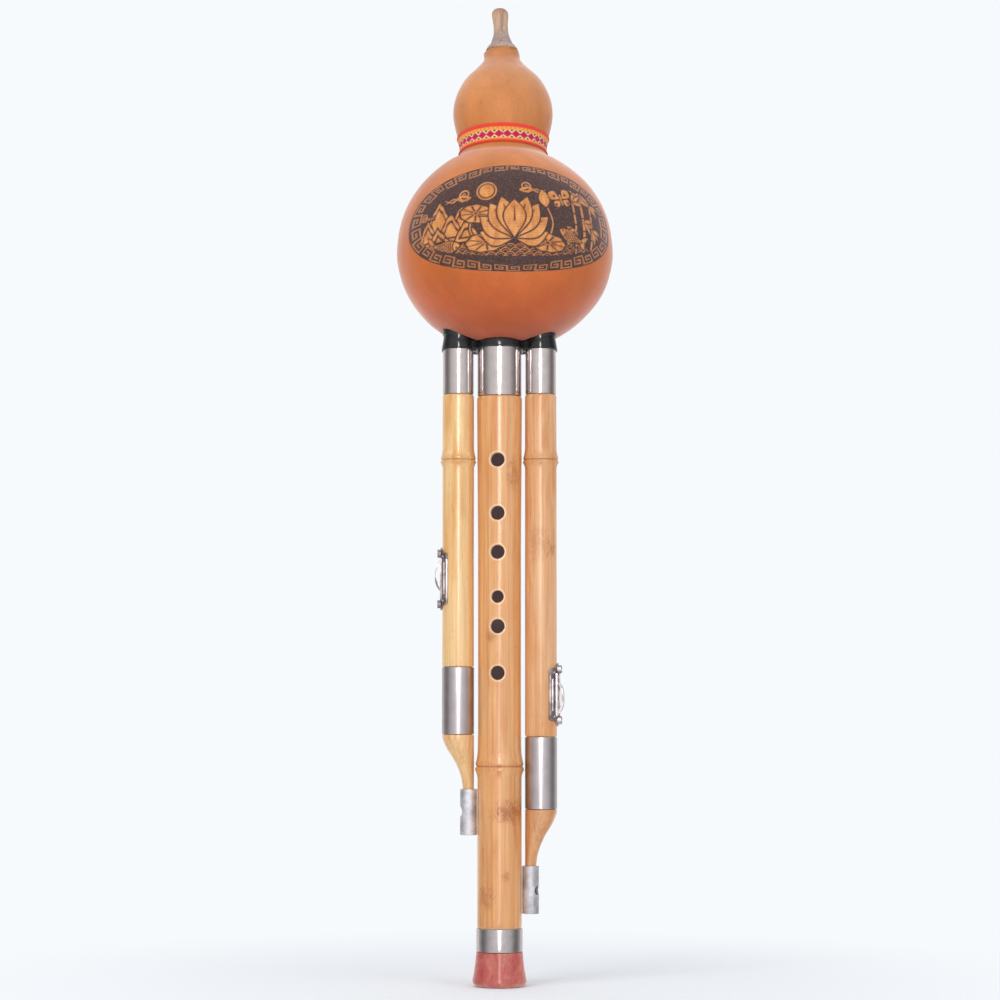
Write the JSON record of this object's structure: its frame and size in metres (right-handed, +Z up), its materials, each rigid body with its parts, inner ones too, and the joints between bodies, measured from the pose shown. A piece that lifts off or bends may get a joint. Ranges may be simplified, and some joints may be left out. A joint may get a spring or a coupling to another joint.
{
  "type": "gourd flute",
  "caption": "Hulusi gourd flute: leaning two-bulb gourd wind chest, melody pipe with finger holes and a bell, and a drone on each side with a sliding shutter.",
  "frame": {"origin": "centre of the bell's lower end, on the melody pipe's axis", "axes": "+Z up along the melody pipe to the mouthpiece, -Y the side of the finger holes, +X to the right of someone facing them"},
  "size_m": [0.1012, 0.101, 0.4608],
  "materials": {
    "gourd": "waxed dried gourd, satin",
    "gourd_stem": "dry gourd stem",
    "ribbon": "woven band with stripes and diamonds",
    "black_base": "glossy black",
    "melody_bamboo": "lacquered bamboo",
    "left_bamboo": "lacquered pale bamboo",
    "right_bamboo": "lacquered bamboo",
    "ferrule_steel": "polished and lightly brushed round",
    "brushed_ferrule": "brushed",
    "sleeve_aluminium": "rough cut tube",
    "shutter_alloy": "plated, slightly dull",
    "bell_resin": "polished marbled red-orange",
    "reed_brass": "plain sheet",
    "seal_rubber": "plain",
    "reed_wood": "plain bamboo"
  },
  "bodies": {
    "melody_pipe": {"melody_pipe": "melody_bamboo", "melody_top_ferrule": "ferrule_steel", "melody_seal": "seal_rubber", "melody_reed_tube": "reed_wood", "melody_reed_plate": "reed_brass", "melody_reed_plug": "reed_wood", "bell_ferrule": "brushed_ferrule", "bell": "bell_resin"},
    "wind_chest": {"gourd_shell": "gourd", "mouthpiece": "gourd_stem", "neck_ribbon": "ribbon", "pipe_base": "black_base"},
    "left_drone": {"left_drone_pipe": "left_bamboo", "left_top_ferrule": "ferrule_steel", "left_seal": "seal_rubber", "left_reed_tube": "reed_wood", "left_reed_plate": "reed_brass", "left_reed_plug": "reed_wood", "left_lower_ferrule": "brushed_ferrule", "left_tail": "left_bamboo", "left_tip_sleeve": "sleeve_aluminium", "left_shutter_plate": "shutter_alloy", "left_shutter_screw_low": "shutter_alloy", "left_shutter_screw_high": "shutter_alloy"},
    "right_drone": {"right_drone_pipe": "right_bamboo", "right_top_ferrule": "ferrule_steel", "right_seal": "seal_rubber", "right_reed_tube": "reed_wood", "right_reed_plate": "reed_brass", "right_reed_plug": "reed_wood", "right_lower_ferrule": "brushed_ferrule", "right_tail": "right_bamboo", "right_tip_sleeve": "sleeve_aluminium", "right_shutter_plate": "shutter_alloy", "right_shutter_screw_low": "shutter_alloy", "right_shutter_screw_high": "shutter_alloy"},
    "left_shutter": {"left_shutter_slide": "shutter_alloy"},
    "right_shutter": {"right_shutter_slide": "shutter_alloy"}
  },
  "joints": [
    {"name": "melody_pipe_turn", "type": "hinge", "parent": "melody_pipe", "child": "wind_chest", "pos_m": [0, 0, 0.3], "axis": [0, 0, 1], "continuous": true},
    {"name": "left_drone_turn", "type": "hinge", "parent": "wind_chest", "child": "left_drone", "pos_m": [-0.01915, 0, 0.3], "axis": [0, 0, 1], "range_deg": [-150, 150]},
    {"name": "right_drone_turn", "type": "hinge", "parent": "wind_chest", "child": "right_drone", "pos_m": [0.01915, 0, 0.3], "axis": [0, 0, 1], "range_deg": [-138, 162]},
    {"name": "left_shutter_slide", "type": "slide", "parent": "left_drone", "child": "left_shutter", "axis": [0, 0, 1], "range_m": [-0.003, 0]},
    {"name": "right_shutter_slide", "type": "slide", "parent": "right_drone", "child": "right_shutter", "axis": [0, 0, 1], "range_m": [0, 0.003]}
  ]
}
